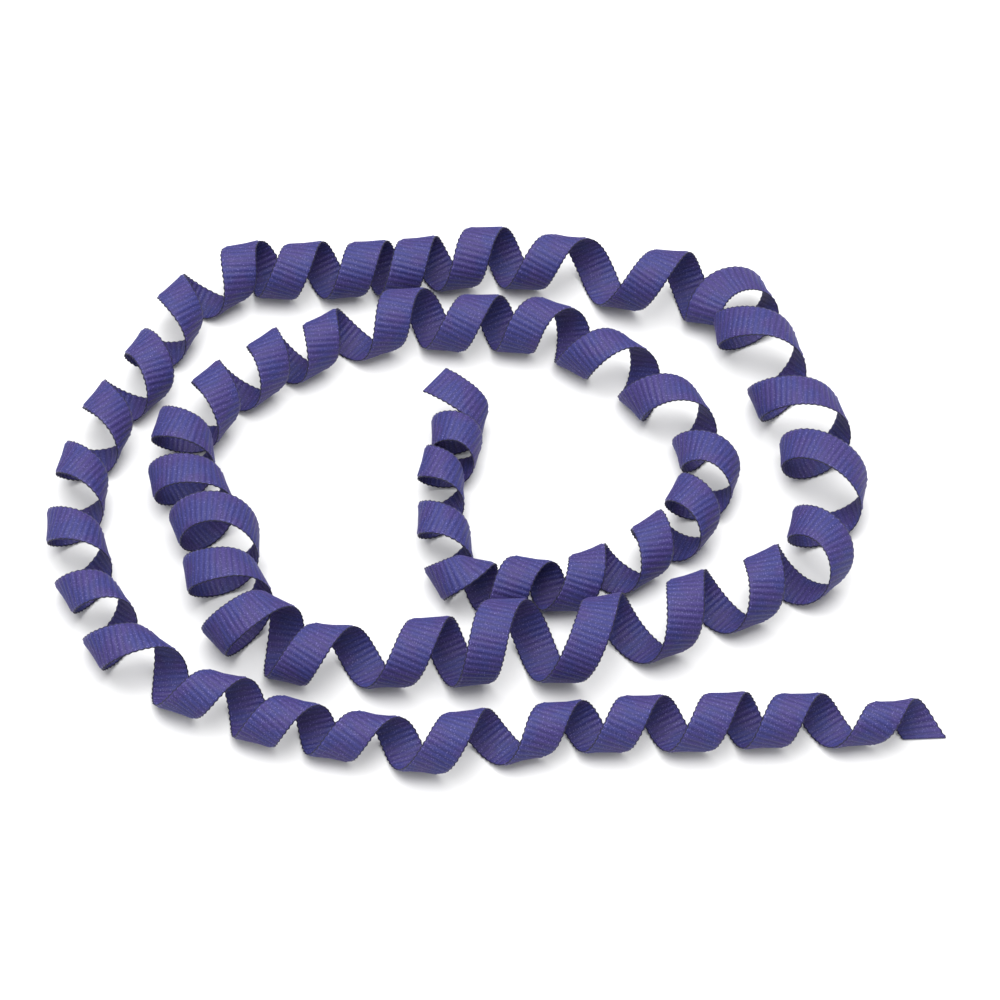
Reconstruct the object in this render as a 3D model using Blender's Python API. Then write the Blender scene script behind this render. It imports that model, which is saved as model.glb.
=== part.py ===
"""A length of ribbon that is curled like a corkscrew and laid down in a loose spiral.

The whole object is one flat woven strip. It winds left-handed round a path that runs along the
front from right to left, up the left side, along the back, down the right side, and then once more
round inside that, to an inner end near the middle. Each turn of the curl rests on the surface.

Lengths in the tables are millimetres; the model is built in metres, with +Z up and its origin at
the centre of its footprint, on the surface.
"""

import math
from collections import namedtuple
from itertools import pairwise

import bmesh
import bpy
import numpy as np

MM = 0.001

# Driving dimensions of the strip, in millimetres
RIBBON_WIDTH = 10.0
RIBBON_THICKNESS = 1.0

# The curl is cut into this many facets a turn; the facet under each turn is its flat foot
FACETS_PER_TURN = 16
HALF_FACET = math.pi / FACETS_PER_TURN

# The ribbon runs from its first bottom to just past its last crest, counted in turns of the curl
OUTER_END = 0.5
INNER_END = 57.09

# The inner end is cut straight across; the rows of points turn into that cut over this many turns
CUT_BLEND = 0.4

# How finely the ribbon's direction is measured, in turns
DIRECTION_STEP = 0.001

# Colour of the yarn, linear, and how matt it is
YARN_COLOUR = (0.03, 0.024, 0.14, 1.0)
YARN_ROUGHNESS = 0.75

# x, y: where the turn's crest lies on the surface; across: the turn's outer diameter;
# skew: how far the turn is swung from the path's own direction, in degrees, anticlockwise;
# squash: how much lower than wide the turn is
Turn = namedtuple("Turn", "x y across skew squash", defaults=(0.0,))

FRONT_ROW = [
    Turn(116.0, -76.5, 11.5, 2),
    Turn(95.0, -75.0, 11.5, 10),
    Turn(71.5, -74.5, 13.0, 0),
    Turn(53.5, -75.5, 14.0, 0),
    Turn(32.5, -76.0, 13.5, 0),
    Turn(12.5, -77.0, 12.5, 0),
    Turn(-11.0, -82.0, 15.0, 0),
    Turn(-34.5, -79.5, 12.0, 0),
    Turn(-53.5, -75.5, 13.0, 0),
    Turn(-71.5, -68.0, 14.0, 12),
]

LEFT_SIDE = [
    Turn(-92.5, -55.0, 14.5, -6),
    Turn(-102.5, -38.0, 14.0, 10),
    Turn(-108.5, -19.5, 14.5, 0),
    Turn(-108.5, 1.5, 13.5, 0),
    Turn(-103.0, 21.0, 14.0, 0),
    Turn(-93.0, 39.0, 14.0, -10),
    Turn(-86.0, 58.0, 14.0, 0),
]

BACK_ROW = [
    Turn(-70.5, 72.0, 14.5, 0),
    Turn(-54.5, 72.5, 15.0, 4),
    Turn(-37.0, 73.5, 14.5, 2),
    Turn(-23.5, 74.5, 14.5, 0),
    Turn(-6.0, 77.0, 16.0, 2),
    Turn(14.5, 75.0, 15.5, 6),
    Turn(42.8, 67.0, 18.0, 5),
    Turn(61.2, 64.0, 19.8, -8, 7.0),
]

RIGHT_SIDE = [
    Turn(68.7, 47.4, 17.6, -10, 1.5),
    Turn(78.7, 21.6, 20.0, -3, 1.5),
    Turn(84.2, 3.4, 19.8, -16, 3.0),
    Turn(82.2, -22.5, 18.0, 2, 1.0),
    Turn(66.8, -34.3, 16.0, 2),
]

MIDDLE_ROW = [
    Turn(46.5, -43.0, 17.5, 0),
    Turn(24.0, -52.0, 20.0, -5),
    Turn(-1.5, -53.5, 20.5, 0),
    Turn(-20.0, -55.5, 16.5, 0),
    Turn(-45.5, -55.5, 15.5, 0),
    Turn(-61.5, -49.0, 19.5, 5),
]

INNER_LEFT_SIDE = [
    Turn(-69.5, -34.5, 18.5, 4),
    Turn(-72.5, -17.5, 19.5, -10),
    Turn(-80.5, -3.5, 17.5, -8),
    Turn(-83.0, 12.0, 16.5, 8),
    Turn(-75.0, 27.5, 15.0, 0),
]

INNER_BACK_ROW = [
    Turn(-61.5, 39.5, 15.0, 8),
    Turn(-47.5, 47.0, 14.0, 10),
    Turn(-27.5, 54.5, 16.0, 0),
    Turn(-7.5, 54.0, 15.0, 0),
    Turn(10.5, 52.5, 15.0, 0),
    Turn(28.5, 41.5, 15.0, 0),
]

INNER_RIGHT_SIDE = [
    Turn(44.5, 25.5, 15.0, -8),
    Turn(54.5, 6.5, 13.5, -10),
    Turn(49.5, -10.0, 15.0, 5),
]

INNER_FRONT_ROW = [
    Turn(39.0, -21.0, 13.5, 0),
    Turn(22.0, -31.5, 14.0, 0),
    Turn(5.0, -32.3, 12.5, -8),
    Turn(-8.8, -32.0, 13.0, 6),
]

INNER_TAIL = [
    Turn(-14.4, -16.0, 12.0, -9),
    Turn(-15.2, 2.2, 12.0, 6),
    Turn(-11.0, 14.2, 12.5, 5),
    Turn(-12.8, 27.2, 17.0, -34, 4.5),
    Turn(-18.0, 51.5, 20.0, -48, 7.5),
]

TURNS = (
    FRONT_ROW
    + LEFT_SIDE
    + BACK_ROW
    + RIGHT_SIDE
    + MIDDLE_ROW
    + INNER_LEFT_SIDE
    + INNER_BACK_ROW
    + INNER_RIGHT_SIDE
    + INNER_FRONT_ROW
    + INNER_TAIL
)


def clear_scene():
    """Remove every object, so that the script can be run again."""
    for item in list(bpy.data.objects):
        bpy.data.objects.remove(item, do_unlink=True)


def between_turns(turn):
    """Read the table at any point along the curl.

    A smooth curve runs through the rows, with row 0 at turn 0. Returns the row's five values
    and how fast they change from one turn to the next.
    """
    rows = np.array(TURNS, dtype=float)
    rows = np.vstack([2 * rows[0] - rows[1], rows, 2 * rows[-1] - rows[-2]])
    index = min(int(turn), len(TURNS) - 2)
    part = turn - index
    before, start, stop, after = rows[index : index + 4]
    slope = stop - before
    bend = 2 * before - 5 * start + 4 * stop - after
    swing = 3 * start - before - 3 * stop + after
    value = start + 0.5 * (slope * part + bend * part**2 + swing * part**3)
    change = 0.5 * (slope + 2 * bend * part + 3 * swing * part**2)
    return value, change


def axis_direction(value, change):
    """The level direction of the turn's axis: along the path, swung by the turn's skew."""
    heading = math.atan2(change[1], change[0]) + math.radians(value[3])
    return np.array([math.cos(heading), math.sin(heading), 0.0])


def centre_line(turn):
    """A point on the middle of the ribbon, the turn's axis there and the way the face looks."""
    value, change = between_turns(turn)
    axis = axis_direction(value, change)
    half_width = value[2] / 2
    half_height = half_width - value[4] / 2
    angle = 2 * math.pi * turn
    sideways = math.sin(angle) * np.array([-axis[1], axis[0], 0.0])
    upward = math.cos(angle) * np.array([0.0, 0.0, 1.0])
    outward = half_height * sideways + half_width * upward
    outward /= np.linalg.norm(outward)
    height = (half_height + RIBBON_THICKNESS / 2) * math.cos(HALF_FACET)
    centre = np.array([value[0], value[1], height])
    return centre + half_width * sideways + half_height * upward, axis, outward


def ribbon_direction(turn):
    """How fast and which way the middle of the ribbon runs, in millimetres a turn."""
    ahead = centre_line(turn + DIRECTION_STEP)[0]
    behind = centre_line(turn - DIRECTION_STEP)[0]
    return (ahead - behind) / (2 * DIRECTION_STEP)


def ribbon_edge(turn, side, straightness):
    """A point on one selvedge, with the way the face looks there.

    side is the distance from the middle of the ribbon. A straightness of 0 keeps the row of
    points along the turn's axis, and 1 sets it straight across the ribbon.
    """
    speed = ribbon_direction(turn)
    axis = centre_line(turn)[1]
    along = float(speed @ axis)
    around = math.sqrt(float(speed @ speed) - along**2)
    shift = side * (along / around) / float(np.linalg.norm(speed))
    turn = turn - straightness * shift
    speed = ribbon_direction(turn)
    middle, axis, outward = centre_line(turn)
    along = float(speed @ axis)
    lean = math.sqrt(1 - along**2 / float(speed @ speed))
    return middle + axis * (side / lean), outward


def section(turn):
    """The four corners of the strip's cross-section at one place, in millimetres."""
    straightness = max(0.0, 1 - (INNER_END - turn) / CUT_BLEND)
    half_width = RIBBON_WIDTH / 2
    half_thickness = RIBBON_THICKNESS / 2
    corners = []
    for side, face in ((-1, 1), (1, 1), (1, -1), (-1, -1)):
        edge, outward = ribbon_edge(turn, side * half_width, straightness)
        corner = edge + outward * (face * half_thickness)
        corner[2] = max(0.0, corner[2])
        corners.append(corner)
    return corners


def stations():
    """Where the cross-sections stand: the two cut ends, and both sides of each flat foot."""
    inner = [
        (index + 0.5) / FACETS_PER_TURN
        for index in range(int(OUTER_END * FACETS_PER_TURN), int(INNER_END * FACETS_PER_TURN))
    ]
    return [OUTER_END, *inner, INNER_END]


def centred(sections):
    """Move the cross-sections so that the footprint's centre is the origin, and change to metres."""
    points = np.array(sections)
    low = points.min(axis=(0, 1))
    high = points.max(axis=(0, 1))
    middle = (low + high) / 2
    middle[2] = low[2]
    return (points - middle) * MM


def strip_mesh(name, sections):
    """Sweep the cross-sections into one closed strip."""
    bm = bmesh.new()
    rings = [[bm.verts.new(corner) for corner in corners] for corners in sections]
    for ring, following in pairwise(rings):
        for here, there in zip(range(4), (1, 2, 3, 0)):
            bm.faces.new((ring[here], ring[there], following[there], following[here]))
    bm.faces.new(reversed(rings[0]))
    bm.faces.new(rings[-1])
    bmesh.ops.recalc_face_normals(bm, faces=bm.faces)
    mesh = bpy.data.meshes.new(name)
    bm.to_mesh(mesh)
    bm.free()
    mesh.shade_smooth()
    mesh.set_sharp_from_angle(angle=math.radians(40))
    return mesh


def yarn_material():
    """The dyed yarn that the ribbon is woven from."""
    material = bpy.data.materials.new("indigo_yarn")
    material.use_nodes = True
    shader = material.node_tree.nodes["Principled BSDF"]
    shader.inputs["Base Color"].default_value = YARN_COLOUR
    shader.inputs["Roughness"].default_value = YARN_ROUGHNESS
    shader.inputs["Metallic"].default_value = 0.0
    return material


def build_ribbon():
    """The curled ribbon, as one object."""
    sections = centred([section(turn) for turn in stations()])
    ribbon = bpy.data.objects.new("ribbon", strip_mesh("ribbon", sections))
    ribbon.data.materials.append(yarn_material())
    bpy.context.collection.objects.link(ribbon)
    return ribbon


def main():
    clear_scene()
    build_ribbon()


main()
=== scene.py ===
"""The looks of a length of indigo grosgrain ribbon, curled like a corkscrew.

The ribbon is woven flat here, rib by rib at its real size, and is then wound along the same curl
as the solid that it replaces. It lies on a white table in soft daylight.
"""

import logging
import math
from dataclasses import dataclass, field
from enum import Enum
from typing import NamedTuple

import bpy
import numpy as np
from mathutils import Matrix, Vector


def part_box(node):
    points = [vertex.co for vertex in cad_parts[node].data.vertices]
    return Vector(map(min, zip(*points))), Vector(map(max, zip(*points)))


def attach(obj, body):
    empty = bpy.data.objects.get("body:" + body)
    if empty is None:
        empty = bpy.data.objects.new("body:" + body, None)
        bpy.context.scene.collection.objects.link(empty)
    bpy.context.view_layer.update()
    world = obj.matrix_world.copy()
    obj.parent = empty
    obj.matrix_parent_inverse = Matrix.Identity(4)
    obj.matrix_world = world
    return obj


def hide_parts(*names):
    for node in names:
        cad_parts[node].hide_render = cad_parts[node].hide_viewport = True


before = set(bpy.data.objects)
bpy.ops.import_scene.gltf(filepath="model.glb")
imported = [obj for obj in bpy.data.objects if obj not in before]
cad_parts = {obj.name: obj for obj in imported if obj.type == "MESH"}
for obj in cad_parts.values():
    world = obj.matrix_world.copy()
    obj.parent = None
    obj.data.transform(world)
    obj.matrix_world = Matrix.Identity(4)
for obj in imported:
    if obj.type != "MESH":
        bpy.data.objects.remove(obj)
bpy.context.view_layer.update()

# Units and the log
MM = 0.001
log = logging.getLogger("ribbon")

Colour = tuple[float, float, float, float]
Grain = tuple[float, float]


class Turn(NamedTuple):
    """One turn of the curl: where its crest lies on the table, and its size.

    x and y are millimetres, across is the turn's outer width in millimetres, skew is how far the
    turn is swung from the path's own direction, in degrees, anticlockwise, and squash is how many
    millimetres lower than wide the turn is.
    """

    x: float
    y: float
    across: float
    skew: float
    squash: float = 0.0


FRONT_ROW = (
    Turn(116.0, -76.5, 11.5, 2),
    Turn(95.0, -75.0, 11.5, 10),
    Turn(71.5, -74.5, 13.0, 0),
    Turn(53.5, -75.5, 14.0, 0),
    Turn(32.5, -76.0, 13.5, 0),
    Turn(12.5, -77.0, 12.5, 0),
    Turn(-11.0, -82.0, 15.0, 0),
    Turn(-34.5, -79.5, 12.0, 0),
    Turn(-53.5, -75.5, 13.0, 0),
    Turn(-71.5, -68.0, 14.0, 12),
)

LEFT_SIDE = (
    Turn(-92.5, -55.0, 14.5, -6),
    Turn(-102.5, -38.0, 14.0, 10),
    Turn(-108.5, -19.5, 14.5, 0),
    Turn(-108.5, 1.5, 13.5, 0),
    Turn(-103.0, 21.0, 14.0, 0),
    Turn(-93.0, 39.0, 14.0, -10),
    Turn(-86.0, 58.0, 14.0, 0),
)

BACK_ROW = (
    Turn(-70.5, 72.0, 14.5, 0),
    Turn(-54.5, 72.5, 15.0, 4),
    Turn(-37.0, 73.5, 14.5, 2),
    Turn(-23.5, 74.5, 14.5, 0),
    Turn(-6.0, 77.0, 16.0, 2),
    Turn(14.5, 75.0, 15.5, 6),
    Turn(42.8, 67.0, 18.0, 5),
    Turn(61.2, 64.0, 19.8, -8, 7.0),
)

RIGHT_SIDE = (
    Turn(68.7, 47.4, 17.6, -10, 1.5),
    Turn(78.7, 21.6, 20.0, -3, 1.5),
    Turn(84.2, 3.4, 19.8, -16, 3.0),
    Turn(82.2, -22.5, 18.0, 2, 1.0),
    Turn(66.8, -34.3, 16.0, 2),
)

MIDDLE_ROW = (
    Turn(46.5, -43.0, 17.5, 0),
    Turn(24.0, -52.0, 20.0, -5),
    Turn(-1.5, -53.5, 20.5, 0),
    Turn(-20.0, -55.5, 16.5, 0),
    Turn(-45.5, -55.5, 15.5, 0),
    Turn(-61.5, -49.0, 19.5, 5),
)

INNER_LEFT_SIDE = (
    Turn(-69.5, -34.5, 18.5, 4),
    Turn(-72.5, -17.5, 19.5, -10),
    Turn(-80.5, -3.5, 17.5, -8),
    Turn(-83.0, 12.0, 16.5, 8),
    Turn(-75.0, 27.5, 15.0, 0),
)

INNER_BACK_ROW = (
    Turn(-61.5, 39.5, 15.0, 8),
    Turn(-47.5, 47.0, 14.0, 10),
    Turn(-27.5, 54.5, 16.0, 0),
    Turn(-7.5, 54.0, 15.0, 0),
    Turn(10.5, 52.5, 15.0, 0),
    Turn(28.5, 41.5, 15.0, 0),
)

INNER_RIGHT_SIDE = (
    Turn(44.5, 25.5, 15.0, -8),
    Turn(54.5, 6.5, 13.5, -10),
    Turn(49.5, -10.0, 15.0, 5),
)

INNER_FRONT_ROW = (
    Turn(39.0, -21.0, 13.5, 0),
    Turn(22.0, -31.5, 14.0, 0),
    Turn(5.0, -32.3, 12.5, -8),
    Turn(-8.8, -32.0, 13.0, 6),
)

INNER_TAIL = (
    Turn(-14.4, -16.0, 12.0, -9),
    Turn(-15.2, 2.2, 12.0, 6),
    Turn(-11.0, 14.2, 12.5, 5),
    Turn(-12.8, 27.2, 17.0, -34, 4.5),
    Turn(-18.0, 51.5, 20.0, -48, 7.5),
)

ALL_TURNS = (
    FRONT_ROW
    + LEFT_SIDE
    + BACK_ROW
    + RIGHT_SIDE
    + MIDDLE_ROW
    + INNER_LEFT_SIDE
    + INNER_BACK_ROW
    + INNER_RIGHT_SIDE
    + INNER_FRONT_ROW
    + INNER_TAIL
)


def smooth_step(amount: np.ndarray) -> np.ndarray:
    """Ease from 0 to 1 with no corner at either end.

    Args:
        amount: Any numbers; below 0 gives 0 and above 1 gives 1.

    Returns:
        The eased numbers.
    """
    clipped = np.clip(amount, 0.0, 1.0)
    return clipped * clipped * (3 - 2 * clipped)


def select_only(piece: bpy.types.Object) -> None:
    """Leave one object selected and active, for the operators that act on the selection."""
    bpy.ops.object.select_all(action="DESELECT")
    piece.select_set(True)
    bpy.context.view_layer.objects.active = piece


@dataclass(frozen=True)
class Curl:
    """The corkscrew path that the ribbon is wound along, in millimetres on the table.

    A place along the curl is counted in turns: at a whole number the ribbon is at a crest, and
    half a turn later it touches the table. step is how finely its direction is measured.
    """

    turns: tuple[Turn, ...] = ALL_TURNS
    outer_end: float = 0.5
    inner_end: float = 57.09
    step: float = 0.001

    def read(self, place: np.ndarray) -> tuple[np.ndarray, np.ndarray]:
        """Read the table of turns at any places along the curl.

        Args:
            place: Places along the curl, in turns.

        Returns:
            The five values of the table at each place, and how fast each changes in a turn.
        """
        rows = np.array(self.turns, dtype=float)
        last = len(rows) - 2
        rows = np.vstack([2 * rows[0] - rows[1], rows, 2 * rows[-1] - rows[-2]])
        index = np.clip(np.floor(place).astype(int), 0, last)
        part = (place - index)[:, None]
        before, start, stop, after = (rows[index + offset] for offset in range(4))
        slope = stop - before
        bend = 2 * before - 5 * start + 4 * stop - after
        swing = 3 * start - before - 3 * stop + after
        value = start + 0.5 * part * (slope + part * (bend + part * swing))
        change = 0.5 * (slope + part * (2 * bend + 3 * part * swing))
        return value, change

    def middle(self, place: np.ndarray, lift: float) -> tuple[np.ndarray, np.ndarray]:
        """Find the middle line of the ribbon.

        Args:
            place: Places along the curl, in turns.
            lift: How high the middle line's lowest points lie over the table.

        Returns:
            The points of the middle line, and the level axis of the turn at each of them.
        """
        value, change = self.read(place)
        heading = np.arctan2(change[:, 1], change[:, 0]) + np.radians(value[:, 3])
        nothing = np.zeros_like(heading)
        axis = np.column_stack([np.cos(heading), np.sin(heading), nothing])
        left = np.column_stack([-axis[:, 1], axis[:, 0], nothing])
        angle = 2 * math.pi * place
        half_width = value[:, 2] / 2
        half_height = half_width - value[:, 4] / 2
        points = (half_width * np.sin(angle))[:, None] * left
        points[:, :2] += value[:, :2]
        points[:, 2] = lift + half_height * (1 + np.cos(angle))
        return points, axis

    def direction(self, place: np.ndarray) -> np.ndarray:
        """Measure which way the middle line runs, as one-millimetre arrows."""
        ahead = self.middle(place + self.step, 0.0)[0]
        behind = self.middle(place - self.step, 0.0)[0]
        run = ahead - behind
        return run / np.linalg.norm(run, axis=1)[:, None]

    def lengths(self, spare: float = 0.2, per_turn: int = 400) -> tuple[np.ndarray, np.ndarray]:
        """Measure the ribbon along its middle line.

        Args:
            spare: How many turns to measure past each end.
            per_turn: How many steps to take in a turn.

        Returns:
            Places along the curl, and the ribbon's length from its outer end to each of them.
        """
        start = self.outer_end - spare
        stop = self.inner_end + spare
        place = np.linspace(start, stop, int((stop - start) * per_turn))
        points = self.middle(place, 0.0)[0]
        run = np.linalg.norm(np.diff(points, axis=0), axis=1)
        length = np.concatenate([[0.0], np.cumsum(run)])
        return place, length - np.interp(self.outer_end, place, length)


@dataclass(frozen=True)
class Weave:
    """The cloth of the ribbon, in millimetres: cross ribs between two flat selvedges.

    rib_profile gives a rib's outline, from one groove to just before the next: how far along the
    rib each point lies, and how full the cloth is there. A fullness of 1 is rib_thickness, and of
    0 groove_thickness. The selvedges are drawn in by the scallop at each groove. Ribs differ in
    height and in pitch by up to the two uneven shares.
    """

    width: float = 10.0
    selvedge: float = 0.8
    rib_slope: float = 0.3
    rib_pitch: float = 1.54
    rib_profile: tuple[tuple[float, float], ...] = (
        (0.0, 0.0),
        (0.25, 0.50),
        (0.5, 1.0),
        (0.75, 0.50),
    )
    rib_thickness: float = 0.92
    groove_thickness: float = 0.14
    selvedge_fullness: float = 0.45
    edge_fullness: float = 0.05
    scallop: float = 0.32
    uneven_height: float = 0.30
    uneven_pitch: float = 0.07
    seed: int = 11

    def columns(self) -> np.ndarray:
        """Where the lines of points run along the cloth, from one edge to the other."""
        edge = self.width / 2
        bound = edge - self.selvedge
        ribbed = bound - self.rib_slope
        return np.array([-edge, -bound, -ribbed, ribbed, bound, edge])

    def ribs(self, length: float) -> int:
        """Count the ribs in a length of cloth."""
        return round(length / self.rib_pitch)

    def rows(self, length: float) -> tuple[np.ndarray, np.ndarray, np.ndarray]:
        """Lay out the rows of points along the cloth, rib by rib.

        Args:
            length: The cloth's length.

        Returns:
            Where each row lies, where it would lie if all the ribs were alike, and how full the
            cloth is there: 1 on the top of a full rib, and 0 in a groove.
        """
        ribs = self.ribs(length)
        pitch = length / ribs
        dice = np.random.default_rng(self.seed)
        grooves = np.arange(ribs + 1) * pitch
        grooves[1:-1] += dice.uniform(-1.0, 1.0, ribs - 1) * self.uneven_pitch * pitch
        heights = 1 - self.uneven_height * dice.random(ribs)
        steps = np.array(self.rib_profile)
        place = grooves[:-1, None] + np.diff(grooves)[:, None] * steps[:, 0]
        even = (np.arange(ribs)[:, None] + steps[:, 0]) * self.rib_pitch
        fullness = heights[:, None] * steps[:, 1]
        return (
            np.append(place.ravel(), length),
            np.append(even.ravel(), ribs * self.rib_pitch),
            np.append(fullness.ravel(), 0.0),
        )


class Lamp(Enum):
    """The soft lamps of the studio: size, power, and place over the table, in metres and watts."""

    OVERHEAD = (1.6, 46.0, (-0.06, 0.14, 1.40))
    FRONT = (1.2, 5.0, (-0.5, -1.1, 0.9))

    @property
    def size(self) -> float:
        """The side of the lamp's square face."""
        return self.value[0]

    @property
    def power(self) -> float:
        """The lamp's power."""
        return self.value[1]

    @property
    def place(self) -> Vector:
        """Where the lamp hangs."""
        return Vector(self.value[2])


class Nodes:
    """A material's node tree, with short ways to add and join nodes."""

    def __init__(self, name: str) -> None:
        """Make an empty material.

        Args:
            name: The material's name.
        """
        self.material = bpy.data.materials.new(name)
        self.material.use_nodes = True
        self.tree = self.material.node_tree
        self.shader = self.tree.nodes["Principled BSDF"]

    def add(self, kind: str, **settings: object) -> bpy.types.Node:
        """Add a node.

        Args:
            kind: The node's type, without the leading words ShaderNode.
            settings: The node's own properties.

        Returns:
            The new node.
        """
        node = self.tree.nodes.new("ShaderNode" + kind)
        for name, value in settings.items():
            setattr(node, name, value)
        return node

    def join(self, source: bpy.types.NodeSocket, target: bpy.types.NodeSocket) -> None:
        """Draw a link from one socket to another."""
        self.tree.links.new(source, target)

    def calculate(
        self,
        operation: str,
        first: bpy.types.NodeSocket | float,
        second: bpy.types.NodeSocket | float = 0.0,
    ) -> bpy.types.NodeSocket:
        """Do arithmetic on two values.

        Args:
            operation: The Math node's operation.
            first: A socket or a number.
            second: A socket or a number.

        Returns:
            The result's socket.
        """
        node = self.add("Math", operation=operation)
        for socket, value in zip(node.inputs, (first, second)):
            if isinstance(value, bpy.types.NodeSocket):
                self.join(value, socket)
            else:
                socket.default_value = value
        return node.outputs[0]

    def span(
        self,
        value: bpy.types.NodeSocket,
        low: float,
        high: float,
        bottom: float = 0.0,
        top: float = 1.0,
    ) -> bpy.types.NodeSocket:
        """Stretch a range of values smoothly onto another.

        Args:
            value: The socket to read.
            low: The value that gives bottom.
            high: The value that gives top.
            bottom: What low turns into.
            top: What high turns into.

        Returns:
            The result's socket.
        """
        node = self.add("MapRange", interpolation_type="SMOOTHSTEP")
        self.join(value, node.inputs["Value"])
        node.inputs["From Min"].default_value = low
        node.inputs["From Max"].default_value = high
        node.inputs["To Min"].default_value = bottom
        node.inputs["To Max"].default_value = top
        return node.outputs["Result"]

    def mix(
        self,
        share: bpy.types.NodeSocket,
        first: bpy.types.NodeSocket | Colour,
        second: bpy.types.NodeSocket | Colour,
    ) -> bpy.types.NodeSocket:
        """Mix two colours.

        Args:
            share: The socket that says how much of the second colour to take.
            first: A colour or a socket.
            second: A colour or a socket.

        Returns:
            The mixed colour's socket.
        """
        node = self.add("Mix", data_type="RGBA")
        self.join(share, node.inputs[0])
        for socket, value in ((node.inputs[6], first), (node.inputs[7], second)):
            if isinstance(value, bpy.types.NodeSocket):
                self.join(value, socket)
            else:
                socket.default_value = value
        return node.outputs[2]

    def noise(self, grain: Grain, detail: float = 2.0) -> bpy.types.NodeSocket:
        """Add noise on the flat cloth.

        Args:
            grain: How many grains to a millimetre, along the ribbon and across it.
            detail: How much fine grain rides on the coarse.

        Returns:
            The noise's socket, from 0 to 1.
        """
        place = self.add("UVMap", uv_map=CurledRibbon.UV_NAME)
        stretch = self.add("Mapping")
        stretch.inputs["Scale"].default_value = (*grain, 1.0)
        texture = self.add("TexNoise")
        texture.inputs["Scale"].default_value = 1.0
        texture.inputs["Detail"].default_value = detail
        self.join(place.outputs["UV"], stretch.inputs["Vector"])
        self.join(stretch.outputs["Vector"], texture.inputs["Vector"])
        return texture.outputs["Fac"]


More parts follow.
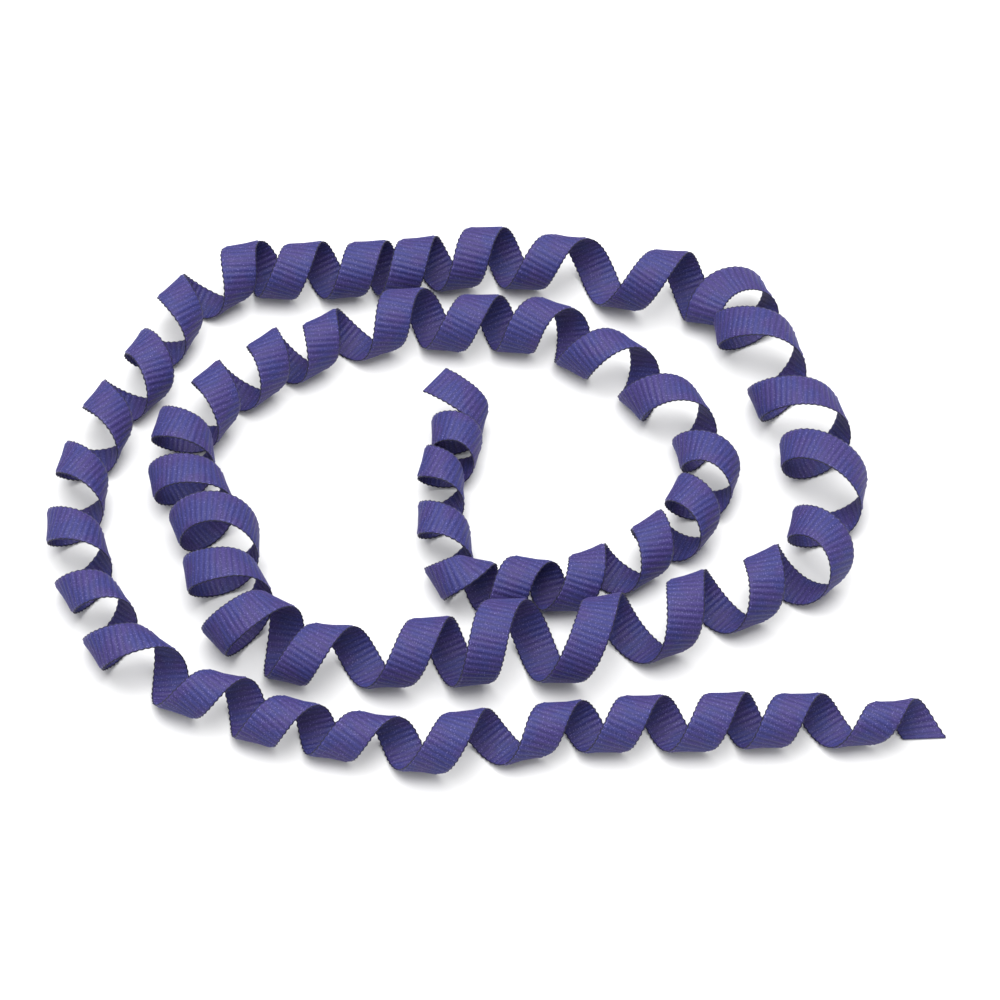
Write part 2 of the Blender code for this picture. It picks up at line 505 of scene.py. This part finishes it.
@dataclass(frozen=True)
class IndigoGrosgrain:
    """Matt indigo yarn: full-coloured ribs, shade painted in grooves, fine warp threads over ribs.

    Widths, blurs and pitches are millimetres, and relief, the height of the bump, is metres. The
    grains are how many there are to a millimetre, along the ribbon and across it. The rest are
    shares and ranges between 0 and 1.
    """

    weave: Weave
    rib_colour: Colour = (0.027, 0.0165, 0.116, 1.0)
    blue_colour: Colour = (0.0165, 0.0185, 0.127, 1.0)
    # Painted shade in the grooves between the ribs; the warp threads are also drawn in this dark
    # indigo.
    groove_shade_and_thread_colour: Colour = (0.010, 0.008, 0.055, 1.0)
    fleck_colour: Colour = (0.150, 0.135, 0.360, 1.0)
    edge_colour: Colour = (0.006, 0.005, 0.022, 1.0)
    edge_width: float = 0.28
    edge_blur: tuple[float, float] = (0.12, 0.05)
    # How much of the dye stays at the bottom of a groove under the painted shade.
    groove_shade_floor: float = 0.53
    full_rib: float = 0.8
    drift_grain: Grain = (0.14, 0.14)
    drift_range: tuple[float, float] = (0.38, 0.62)
    thread_pitch: float = 0.42
    thread_shade: float = 0.26
    thread_height: float = 0.35
    wander: float = 0.5
    wander_grain: Grain = (0.7, 0.7)
    fleck_grain: Grain = (2.4, 3.2)
    fleck_range: tuple[float, float] = (0.56, 0.70)
    fleck_share: float = 0.60
    selvedge_flecks: float = 0.35
    selvedge_blur: float = 0.4
    fuzz_grain: Grain = (6.0, 6.0)
    fuzz_height: float = 0.9
    relief: float = 0.00006
    relief_strength: float = 0.55
    roughness: float = 0.62
    gloss: float = 0.35
    sheen: float = 0.09
    sheen_tint: Colour = (0.60, 0.58, 1.0, 1.0)

    def build(self) -> bpy.types.Material:
        """Make the material from the flat place on the cloth.

        Returns:
            The finished material.
        """
        nodes = Nodes("indigo_grosgrain")
        place = nodes.add("UVMap", uv_map=CurledRibbon.UV_NAME)
        split = nodes.add("SeparateXYZ")
        nodes.join(place.outputs["UV"], split.inputs["Vector"])
        along, across = split.outputs[0], split.outputs[1]
        rib = self._ribs(nodes, along)
        middle = self._from_middle(nodes, across)
        thread = self._threads(nodes, across)
        self._colour(nodes, rib, middle, thread)
        self._relief(nodes, rib, thread)
        nodes.shader.inputs["Roughness"].default_value = self.roughness
        nodes.shader.inputs["Sheen Weight"].default_value = self.sheen
        nodes.shader.inputs["Sheen Tint"].default_value = self.sheen_tint
        nodes.shader.inputs["Specular IOR Level"].default_value = self.gloss
        return nodes.material

    def _ribs(self, nodes: Nodes, along: bpy.types.NodeSocket) -> bpy.types.NodeSocket:
        """Follow the ribs: 1 on a rib's top, 0 in a groove."""
        angle = nodes.calculate("MULTIPLY", along, math.pi / self.weave.rib_pitch)
        wave = nodes.calculate("SINE", angle)
        return nodes.calculate("MULTIPLY", wave, wave)

    def _from_middle(self, nodes: Nodes, across: bpy.types.NodeSocket) -> bpy.types.NodeSocket:
        """Measure how far each point lies from the middle of the ribbon."""
        middle = nodes.calculate("SUBTRACT", across, self.weave.width / 2)
        return nodes.calculate("ABSOLUTE", middle)

    def _threads(self, nodes: Nodes, across: bpy.types.NodeSocket) -> bpy.types.NodeSocket:
        """Lay the fine warp threads side by side over the ribs, a little wandering."""
        wander = nodes.calculate("MULTIPLY", nodes.noise(self.wander_grain), self.wander)
        shifted = nodes.calculate("ADD", across, wander)
        angle = nodes.calculate("MULTIPLY", shifted, 2 * math.pi / self.thread_pitch)
        return nodes.calculate("SINE", angle)

    def _colour(
        self,
        nodes: Nodes,
        rib: bpy.types.NodeSocket,
        middle: bpy.types.NodeSocket,
        thread: bpy.types.NodeSocket,
    ) -> None:
        """Dye the cloth.

        The dye drifts between violet and blue, painted shade darkens the grooves, the warp threads
        show faintly, small pale flecks of yarn stand out, most of all on the selvedges, and the
        very edge is dark.
        """
        drift = nodes.span(nodes.noise(self.drift_grain, 1.0), *self.drift_range)
        dyed = nodes.mix(drift, self.rib_colour, self.blue_colour)
        # Painted shade: the cloth is darkened towards a dark indigo in each groove between the
        # ribs.
        groove_shade = nodes.span(rib, 0.0, self.full_rib, self.groove_shade_floor, 1.0)
        ribbed = nodes.mix(groove_shade, self.groove_shade_and_thread_colour, dyed)
        fine = nodes.span(thread, -1.0, 1.0, 0.0, self.thread_shade)
        threaded = nodes.mix(fine, ribbed, self.groove_shade_and_thread_colour)
        edge = self.weave.width / 2
        bound = edge - self.weave.selvedge
        selvedge = nodes.span(middle, bound - self.selvedge_blur, bound)
        many = nodes.calculate("MULTIPLY_ADD", selvedge, self.selvedge_flecks)
        many.node.inputs[2].default_value = self.fleck_share
        fleck = nodes.span(nodes.noise(self.fleck_grain, 3.0), *self.fleck_range)
        flecked = nodes.mix(nodes.calculate("MULTIPLY", fleck, many), threaded, self.fleck_colour)
        inner, outer = self.edge_blur
        rim = nodes.span(middle, edge - self.edge_width - inner, edge - self.edge_width + outer)
        bordered = nodes.mix(rim, flecked, self.edge_colour)
        nodes.join(bordered, nodes.shader.inputs["Base Color"])

    def _relief(
        self, nodes: Nodes, rib: bpy.types.NodeSocket, thread: bpy.types.NodeSocket
    ) -> None:
        """Raise the warp threads on the ribs and roughen the yarn."""
        fuzz = nodes.calculate("MULTIPLY", nodes.noise(self.fuzz_grain, 3.0), self.fuzz_height)
        on_rib = nodes.calculate("MULTIPLY", rib, self.thread_height)
        raised = nodes.calculate("MULTIPLY", thread, on_rib)
        bump = nodes.add("Bump")
        bump.inputs["Strength"].default_value = self.relief_strength
        bump.inputs["Distance"].default_value = self.relief
        nodes.join(nodes.calculate("ADD", fuzz, raised), bump.inputs["Height"])
        nodes.join(bump.outputs["Normal"], nodes.shader.inputs["Normal"])


@dataclass
class CurledRibbon:
    """The one piece: a strip of grosgrain, woven flat and wound along its curl.

    cut_blend is how many millimetres from the outer end the rows of points lean into its cut.
    length, in millimetres, and shift, in metres, are worked out when the ribbon is built.
    """

    UV_NAME = "cloth"
    FULLNESS = "fullness"

    curl: Curl
    weave: Weave
    cut_blend: float = 14.0
    length: float = 0.0
    shift: Vector = field(default_factory=Vector)

    def build(self) -> bpy.types.Object:
        """Weave the strip flat, wind it, thicken it and dress it.

        Returns:
            The finished ribbon.
        """
        place, length = self.curl.lengths()
        self.length = float(np.interp(self.curl.inner_end, place, length))
        row, even, fullness = self.weave.rows(self.length)
        strip = self._flat_strip(len(row) - 1)
        along, across = self._flat_places(row, fullness)
        self._lay_on_curl(strip, along, across, place, length)
        self._map_cloth(strip, *np.meshgrid(even, self.weave.columns()))
        self._thicken(strip, fullness)
        strip.data.materials.append(IndigoGrosgrain(self.weave).build())
        return strip

    def _flat_strip(self, steps: int) -> bpy.types.Object:
        """Add a flat grid.

        Args:
            steps: How many steps the grid has along the ribbon.

        Returns:
            The grid, one unit square.
        """
        bpy.ops.object.select_all(action="DESELECT")
        bpy.ops.mesh.primitive_grid_add(
            x_subdivisions=steps,
            y_subdivisions=len(self.weave.columns()) - 1,
            size=1.0,
            calc_uvs=True,
        )
        strip = bpy.context.object
        strip.name = "curled_ribbon"
        strip.data.name = "curled_ribbon"
        return strip

    def _flat_places(
        self, row: np.ndarray, fullness: np.ndarray
    ) -> tuple[np.ndarray, np.ndarray]:
        """Work out where each point of the grid lies on the flat cloth, in millimetres.

        The edges are drawn in a little at each groove. The outer end is cut on the slant, along
        the turn's axis, so the rows near it lean.

        Args:
            row: Where each row of points lies along the cloth.
            fullness: How full the cloth is at each row.

        Returns:
            Distance along the cloth and distance from its middle, for each point.
        """
        along, across = np.meshgrid(row, self.weave.columns())
        across[[0, -1]] *= 1 - (1 - fullness) * self.weave.scallop / (self.weave.width / 2)
        along, across = along.ravel(), across.ravel()
        start = np.array([self.curl.outer_end])
        slant = self._slant(start)[0]
        lean = 1 - smooth_step(along / self.cut_blend)
        return along + across * slant * lean, across

    def _slant(self, place: np.ndarray) -> np.ndarray:
        """Find how far the turn's axis leans from straight across the ribbon, as a slope."""
        axis = self.curl.middle(place, 0.0)[1]
        along = np.sum(self.curl.direction(place) * axis, axis=1)
        return along / np.sqrt(1 - along**2)

    def _lay_on_curl(
        self,
        strip: bpy.types.Object,
        along: np.ndarray,
        across: np.ndarray,
        place: np.ndarray,
        length: np.ndarray,
    ) -> None:
        """Wind the flat strip along the curl and set it on the solid's footprint.

        Args:
            strip: The flat grid.
            along: Each point's distance along the cloth.
            across: Each point's distance from the cloth's middle.
            place: Places along the curl, in turns.
            length: The length of ribbon up to each of those places.
        """
        here = np.interp(along, length, place)
        foot = np.interp(along - across * self._slant(here), length, place)
        points, axis = self.curl.middle(foot, self.weave.rib_thickness / 2)
        lean = np.sqrt(1 + self._slant(foot) ** 2)
        points = points + axis * (across * lean)[:, None]
        points *= MM
        low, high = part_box("ribbon")
        shift = np.array((low + high) / 2) - (points.min(axis=0) + points.max(axis=0)) / 2
        shift[2] = 0.0
        self.shift = Vector(shift)
        strip.data.vertices.foreach_set("co", (points + shift).ravel())
        strip.data.update()

    def _map_cloth(self, strip: bpy.types.Object, along: np.ndarray, across: np.ndarray) -> None:
        """Keep each point's flat place, in millimetres, as the cloth's UV map.

        Args:
            strip: The strip, still without thickness.
            along: Each point's distance along the cloth, with all the ribs alike.
            across: Each point's distance from the cloth's middle, with straight edges.
        """
        layer = strip.data.uv_layers[0]
        layer.name = self.UV_NAME
        corner = np.empty(len(strip.data.loops), dtype=int)
        strip.data.loops.foreach_get("vertex_index", corner)
        flat = np.column_stack([along.ravel(), across.ravel() + self.weave.width / 2])[corner]
        layer.data.foreach_set("uv", flat.ravel())

    def _thicken(self, strip: bpy.types.Object, fullness: np.ndarray) -> None:
        """Give the strip its thickness: full on the ribs, thin in the grooves and at the edges.

        Args:
            strip: The strip, still without thickness.
            fullness: How full the cloth is at each row.
        """
        edge = np.full_like(fullness, self.weave.edge_fullness)
        bound = fullness * self.weave.selvedge_fullness
        # Rounded, so that points of the same fullness are weighted together
        levels = np.concatenate([edge, bound, fullness, fullness, bound, edge]).round(2)
        group = strip.vertex_groups.new(name=self.FULLNESS)
        for level in np.unique(levels):
            members = np.nonzero(levels == level)[0].tolist()
            group.add(members, float(level), "REPLACE")
        select_only(strip)
        solid = strip.modifiers.new("cloth", "SOLIDIFY")
        solid.thickness = self.weave.rib_thickness * MM
        solid.offset = 0.0
        solid.vertex_group = self.FULLNESS
        solid.thickness_vertex_group = self.weave.groove_thickness / self.weave.rib_thickness
        bpy.ops.object.modifier_apply(modifier=solid.name)
        strip.vertex_groups.clear()
        bpy.ops.object.shade_smooth()


@dataclass(frozen=True)
class WhiteTable:
    """A white, matt surface, its side in metres."""

    colour: Colour = (0.66, 0.66, 0.66, 1.0)
    roughness: float = 0.9
    side: float = 6.0

    def build(self) -> bpy.types.Object:
        """Add the table under the ribbon.

        Returns:
            The table.
        """
        bpy.ops.object.select_all(action="DESELECT")
        bpy.ops.mesh.primitive_plane_add(size=self.side)
        table = bpy.context.object
        table.name = "table"
        nodes = Nodes("white_table")
        nodes.shader.inputs["Base Color"].default_value = self.colour
        nodes.shader.inputs["Roughness"].default_value = self.roughness
        table.data.materials.append(nodes.material)
        return table


@dataclass
class Studio:
    """Soft light all round, and the camera over the front of the table.

    elevation is how far the camera looks down, in degrees, and distance is in metres. The focal
    length is given in pixels of a square picture that is picture pixels wide.
    """

    target: Vector
    elevation: float = 52.0
    distance: float = 1.0
    focal_pixels: float = 3830.0
    picture: float = 1000.0
    sky_colour: Colour = (1.0, 1.0, 1.0, 1.0)
    sky_strength: float = 0.60

    def build(self) -> None:
        """Set up the sky, the lamps and the camera."""
        self._sky()
        for lamp in Lamp:
            self._lamp(lamp)
        self._camera()
        bpy.context.scene.view_settings.view_transform = "Standard"

    def _sky(self) -> None:
        """Fill the room with even white light."""
        world = bpy.data.worlds.new("white_room")
        world.use_nodes = True
        background = world.node_tree.nodes["Background"]
        background.inputs["Color"].default_value = self.sky_colour
        background.inputs["Strength"].default_value = self.sky_strength
        bpy.context.scene.world = world

    def _lamp(self, lamp: Lamp) -> None:
        """Hang one soft lamp and turn it to the ribbon."""
        light = bpy.data.lights.new(lamp.name.lower(), "AREA")
        light.shape = "SQUARE"
        light.size = lamp.size
        light.energy = lamp.power
        holder = bpy.data.objects.new(lamp.name.lower(), light)
        holder.location = lamp.place
        holder.rotation_euler = (-lamp.place).to_track_quat("-Z", "Y").to_euler()
        bpy.context.collection.objects.link(holder)

    def _camera(self) -> None:
        """Place the camera at the height and distance that the picture was taken from."""
        data = bpy.data.cameras.new("camera")
        data.lens = data.sensor_width * self.focal_pixels / self.picture
        camera = bpy.data.objects.new("camera", data)
        rise = math.radians(self.elevation)
        back = Vector((0.0, -math.cos(rise), math.sin(rise)))
        camera.location = self.target + back * self.distance
        camera.rotation_euler = (math.pi / 2 - rise, 0.0, 0.0)
        bpy.context.collection.objects.link(camera)
        bpy.context.scene.camera = camera


def main() -> None:
    logging.basicConfig(level=logging.INFO, format="%(message)s")
    ribbon = CurledRibbon(Curl(), Weave())
    piece = ribbon.build()
    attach(piece, "root")
    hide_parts("ribbon")
    log.info("%s: %d faces, %.1f mm long", piece.name, len(piece.data.polygons), ribbon.length)
    WhiteTable().build()
    Studio(target=ribbon.shift).build()


if __name__ == "__main__":
    main()
